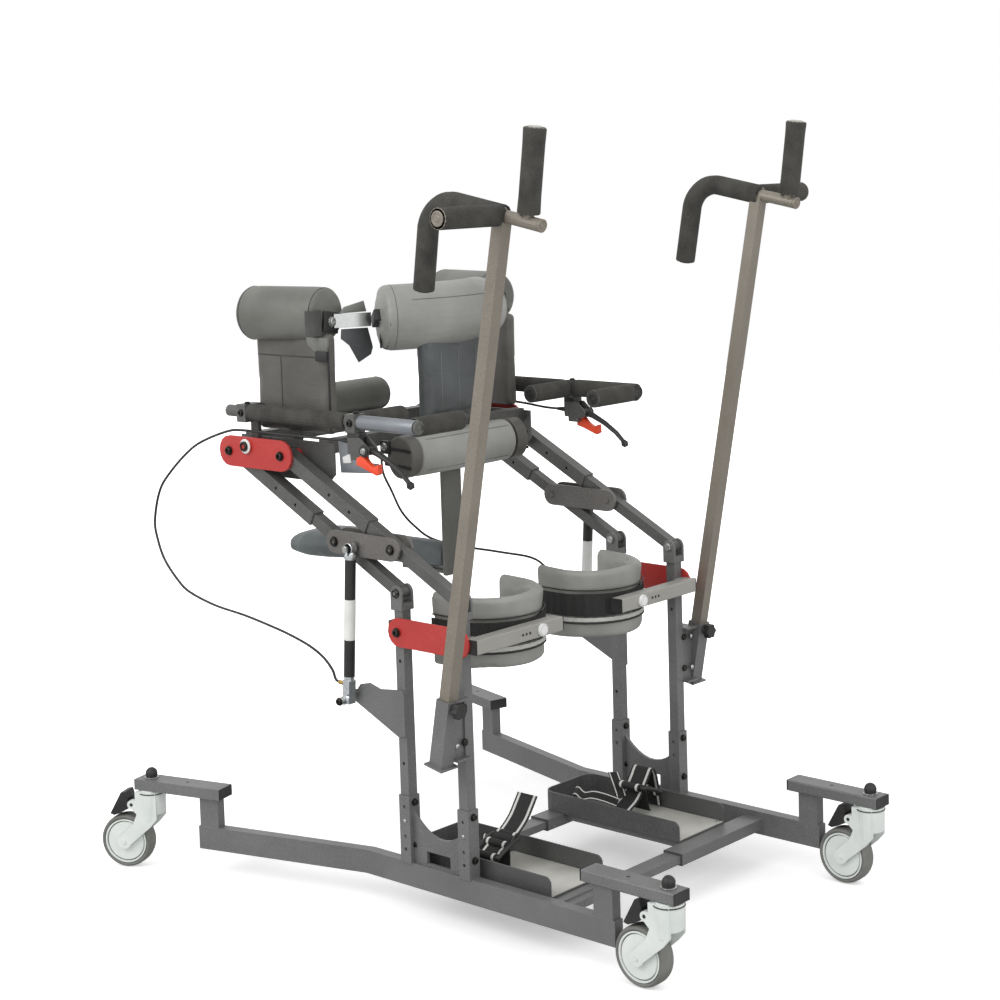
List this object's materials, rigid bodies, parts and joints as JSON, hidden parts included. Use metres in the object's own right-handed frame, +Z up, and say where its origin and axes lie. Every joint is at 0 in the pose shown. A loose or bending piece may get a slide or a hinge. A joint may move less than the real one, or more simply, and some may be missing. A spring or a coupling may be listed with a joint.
{
  "type": "manual stander",
  "caption": "Wheeled sit-to-stand frame: padded trunk carriage on lifting parallelogram arms with gas springs, knee cups, foot trays and tall grab handles.",
  "frame": {"origin": "on the floor below the middle of the bounding box", "axes": "+X the way the user faces, +Y the user's left, +Z up"},
  "size_m": [1.2533, 0.959, 1.3534],
  "materials": {
    "bright_chrome": "bright",
    "castor_plastic_pale": "satin",
    "castor_tyre_grey": "matte",
    "coated_sheet_dark": "matte",
    "foam_black": "matte",
    "knee_bar_grey": "satin",
    "padded_vinyl_grey": "matte",
    "painted_plate_red": "satin",
    "painted_steel_brown": "satin",
    "painted_steel_grey": "satin",
    "plastic_black": "satin",
    "webbing_black": "matte"
  },
  "bodies": {
    "base": {"frame_right": "painted_steel_grey", "tray_right": "coated_sheet_dark", "foot_strap_right": "webbing_black", "leg_post_rear_right": "painted_steel_grey", "leg_post_front_right": "painted_steel_grey", "brace_link_right": "painted_plate_red", "knee_pad_right": "padded_vinyl_grey", "knee_cup_right": "plastic_black", "knee_bar_right": "knee_bar_grey", "release_cable_right": "plastic_black", "frame_left": "painted_steel_grey", "tray_left": "coated_sheet_dark", "foot_strap_left": "webbing_black", "leg_post_rear_left": "painted_steel_grey", "leg_post_front_left": "painted_steel_grey", "brace_link_left": "painted_plate_red", "knee_pad_left": "padded_vinyl_grey", "knee_cup_left": "plastic_black", "knee_bar_left": "knee_bar_grey", "release_cable_left": "plastic_black"},
    "arm_rear_right": {"arm_rear_right": "painted_steel_grey"},
    "arm_front_right": {"arm_front_right": "painted_steel_grey"},
    "mid_link_right": {"mid_link_right": "painted_steel_grey"},
    "arm_rear_left": {"arm_rear_left": "painted_steel_grey"},
    "arm_front_left": {"arm_front_left": "painted_steel_grey"},
    "mid_link_left": {"mid_link_left": "painted_steel_grey"},
    "carriage": {"carriage_frame": "painted_steel_grey", "seat_post": "painted_steel_grey", "saddle": "padded_vinyl_grey", "pelvic_bolster": "padded_vinyl_grey", "chest_support": "padded_vinyl_grey", "rear_pad": "padded_vinyl_grey", "hip_plate_right": "painted_plate_red", "lateral_support_right": "padded_vinyl_grey", "side_foam_right": "foam_black", "hip_plate_left": "painted_plate_red", "lateral_support_left": "padded_vinyl_grey", "side_foam_left": "foam_black"},
    "gas_rod_right": {"gas_rod_right": "bright_chrome"},
    "gas_cylinder_right": {"gas_cylinder_right": "plastic_black"},
    "gas_rod_left": {"gas_rod_left": "bright_chrome"},
    "gas_cylinder_left": {"gas_cylinder_left": "plastic_black"},
    "caster_fork_front_right": {"caster_fork_front_right": "castor_plastic_pale"},
    "caster_wheel_front_right": {"caster_wheel_front_right": "castor_tyre_grey"},
    "caster_pedal_front_right": {"caster_pedal_front_right": "plastic_black"},
    "caster_fork_rear_right": {"caster_fork_rear_right": "castor_plastic_pale"},
    "caster_wheel_rear_right": {"caster_wheel_rear_right": "castor_tyre_grey"},
    "caster_pedal_rear_right": {"caster_pedal_rear_right": "plastic_black"},
    "caster_fork_front_left": {"caster_fork_front_left": "castor_plastic_pale"},
    "caster_wheel_front_left": {"caster_wheel_front_left": "castor_tyre_grey"},
    "caster_pedal_front_left": {"caster_pedal_front_left": "plastic_black"},
    "caster_fork_rear_left": {"caster_fork_rear_left": "castor_plastic_pale"},
    "caster_wheel_rear_left": {"caster_wheel_rear_left": "castor_tyre_grey"},
    "caster_pedal_rear_left": {"caster_pedal_rear_left": "plastic_black"},
    "handle_right": {"handle_post_right": "painted_steel_brown"},
    "handle_knob_right": {"handle_knob_right": "plastic_black"},
    "brake_lever_right": {"brake_lever_right": "plastic_black"},
    "handle_left": {"handle_post_left": "painted_steel_brown"},
    "handle_knob_left": {"handle_knob_left": "plastic_black"},
    "brake_lever_left": {"brake_lever_left": "plastic_black"}
  },
  "joints": [
    {"name": "lift_arm_rear_right", "type": "hinge", "parent": "base", "child": "arm_rear_right", "pos_m": [0.0311, -0.2865, 0.567], "axis": [0, 1, 0], "range_deg": [0, 50], "deforming": ["release_cable_right", "release_cable_left"]},
    {"name": "lift_arm_front_right", "type": "hinge", "parent": "base", "child": "arm_front_right", "pos_m": [0.1711, -0.2865, 0.567], "axis": [0, 1, 0], "range_deg": [0, 50]},
    {"name": "mid_pivot_right", "type": "hinge", "parent": "arm_rear_right", "child": "mid_link_right", "pos_m": [-0.11483, -0.2865, 0.64184], "axis": [0, 1, 0], "range_deg": [-50, 0]},
    {"name": "lift_arm_rear_left", "type": "hinge", "parent": "base", "child": "arm_rear_left", "pos_m": [0.0311, 0.2865, 0.567], "axis": [0, 1, 0], "range_deg": [0, 50]},
    {"name": "lift_arm_front_left", "type": "hinge", "parent": "base", "child": "arm_front_left", "pos_m": [0.1711, 0.2865, 0.567], "axis": [0, 1, 0], "range_deg": [0, 50]},
    {"name": "mid_pivot_left", "type": "hinge", "parent": "arm_rear_left", "child": "mid_link_left", "pos_m": [-0.11483, 0.2865, 0.64184], "axis": [0, 1, 0], "range_deg": [-50, 0]},
    {"name": "carriage_pivot", "type": "hinge", "parent": "arm_rear_right", "child": "carriage", "pos_m": [-0.388, -0.2865, 0.78193], "axis": [0, 1, 0], "range_deg": [-50, 0]},
    {"name": "gas_foot_right", "type": "hinge", "parent": "base", "child": "gas_rod_right", "pos_m": [-0.0789, -0.3165, 0.372], "axis": [0, 1, 0], "range_deg": [0, 15.8]},
    {"name": "gas_stroke_right", "type": "slide", "parent": "gas_rod_right", "child": "gas_cylinder_right", "axis": [0.0678, 0, 0.9977], "range_m": [0, 0.1125]},
    {"name": "gas_foot_left", "type": "hinge", "parent": "base", "child": "gas_rod_left", "pos_m": [-0.0789, 0.3165, 0.372], "axis": [0, 1, 0], "range_deg": [0, 15.8]},
    {"name": "gas_stroke_left", "type": "slide", "parent": "gas_rod_left", "child": "gas_cylinder_left", "axis": [0.0678, 0, 0.9977], "range_m": [0, 0.1125]},
    {"name": "caster_swivel_front_right", "type": "hinge", "parent": "base", "child": "caster_fork_front_right", "pos_m": [0.6011, -0.2865, 0.15], "axis": [0, 0, 1], "continuous": true},
    {"name": "caster_roll_front_right", "type": "hinge", "parent": "caster_fork_front_right", "child": "caster_wheel_front_right", "pos_m": [0.5491, -0.2865, 0.05], "axis": [0, -1, 0], "continuous": true},
    {"name": "caster_brake_front_right", "type": "hinge", "parent": "caster_fork_front_right", "child": "caster_pedal_front_right", "pos_m": [0.5671, -0.2865, 0.122], "axis": [0, 1, 0], "range_deg": [0, 18]},
    {"name": "caster_swivel_rear_right", "type": "hinge", "parent": "base", "child": "caster_fork_rear_right", "pos_m": [-0.52782, -0.40866, 0.15], "axis": [0, 0, 1], "continuous": true},
    {"name": "caster_roll_rear_right", "type": "hinge", "parent": "caster_fork_rear_right", "child": "caster_wheel_rear_right", "pos_m": [-0.57455, -0.43146, 0.05], "axis": [0.4384, -0.8988, 0], "continuous": true},
    {"name": "caster_brake_rear_right", "type": "hinge", "parent": "caster_fork_rear_right", "child": "caster_pedal_rear_right", "pos_m": [-0.55838, -0.42357, 0.122], "axis": [-0.4384, 0.8988, 0], "range_deg": [0, 18]},
    {"name": "caster_swivel_front_left", "type": "hinge", "parent": "base", "child": "caster_fork_front_left", "pos_m": [0.6011, 0.2865, 0.15], "axis": [0, 0, 1], "continuous": true},
    {"name": "caster_roll_front_left", "type": "hinge", "parent": "caster_fork_front_left", "child": "caster_wheel_front_left", "pos_m": [0.5491, 0.2865, 0.05], "axis": [0, -1, 0], "continuous": true},
    {"name": "caster_brake_front_left", "type": "hinge", "parent": "caster_fork_front_left", "child": "caster_pedal_front_left", "pos_m": [0.5671, 0.2865, 0.122], "axis": [0, 1, 0], "range_deg": [0, 18]},
    {"name": "caster_swivel_rear_left", "type": "hinge", "parent": "base", "child": "caster_fork_rear_left", "pos_m": [-0.52782, 0.40866, 0.15], "axis": [0, 0, 1], "continuous": true},
    {"name": "caster_roll_rear_left", "type": "hinge", "parent": "caster_fork_rear_left", "child": "caster_wheel_rear_left", "pos_m": [-0.57455, 0.43146, 0.05], "axis": [-0.4384, -0.8988, 0], "continuous": true},
    {"name": "caster_brake_rear_left", "type": "hinge", "parent": "caster_fork_rear_left", "child": "caster_pedal_rear_left", "pos_m": [-0.55838, 0.42357, 0.122], "axis": [0.4384, 0.8988, 0], "range_deg": [0, 18]},
    {"name": "handle_height_right", "type": "slide", "parent": "base", "child": "handle_right", "axis": [0.1908, 0, 0.9816], "range_m": [0, 0.09]},
    {"name": "knob_turn_right", "type": "hinge", "parent": "base", "child": "handle_knob_right", "pos_m": [0.20503, -0.3395, 0.39889], "axis": [1, 0, 0], "range_deg": [-180, 180]},
    {"name": "release_lever_right", "type": "hinge", "parent": "carriage", "child": "brake_lever_right", "pos_m": [-0.0379, -0.285, 0.806], "axis": [0, -1, 0], "range_deg": [0, 20], "stiffness_Nm_per_rad": 0.8},
    {"name": "handle_height_left", "type": "slide", "parent": "base", "child": "handle_left", "axis": [0.1908, 0, 0.9816], "range_m": [0, 0.09]},
    {"name": "knob_turn_left", "type": "hinge", "parent": "base", "child": "handle_knob_left", "pos_m": [0.20503, 0.3395, 0.39889], "axis": [1, 0, 0], "range_deg": [-180, 180]},
    {"name": "release_lever_left", "type": "hinge", "parent": "carriage", "child": "brake_lever_left", "pos_m": [-0.0379, 0.285, 0.806], "axis": [0, -1, 0], "range_deg": [0, 20], "stiffness_Nm_per_rad": 0.8}
  ],
  "couplings": [
    {"joint": "lift_arm_front_right", "follows": "lift_arm_rear_right", "ratio": 1},
    {"joint": "mid_pivot_right", "follows": "lift_arm_rear_right", "ratio": -1},
    {"joint": "lift_arm_rear_left", "follows": "lift_arm_rear_right", "ratio": 1},
    {"joint": "lift_arm_front_left", "follows": "lift_arm_rear_right", "ratio": 1},
    {"joint": "mid_pivot_left", "follows": "lift_arm_rear_right", "ratio": -1},
    {"joint": "carriage_pivot", "follows": "lift_arm_rear_right", "ratio": -1},
    {"joint": "gas_foot_right", "follows": "lift_arm_rear_right", "ratio": 0.315},
    {"joint": "gas_stroke_right", "follows": "lift_arm_rear_right", "m_per_rad": 0.12833},
    {"joint": "gas_foot_left", "follows": "lift_arm_rear_right", "ratio": 0.315},
    {"joint": "gas_stroke_left", "follows": "lift_arm_rear_right", "m_per_rad": 0.12833}
  ]
}
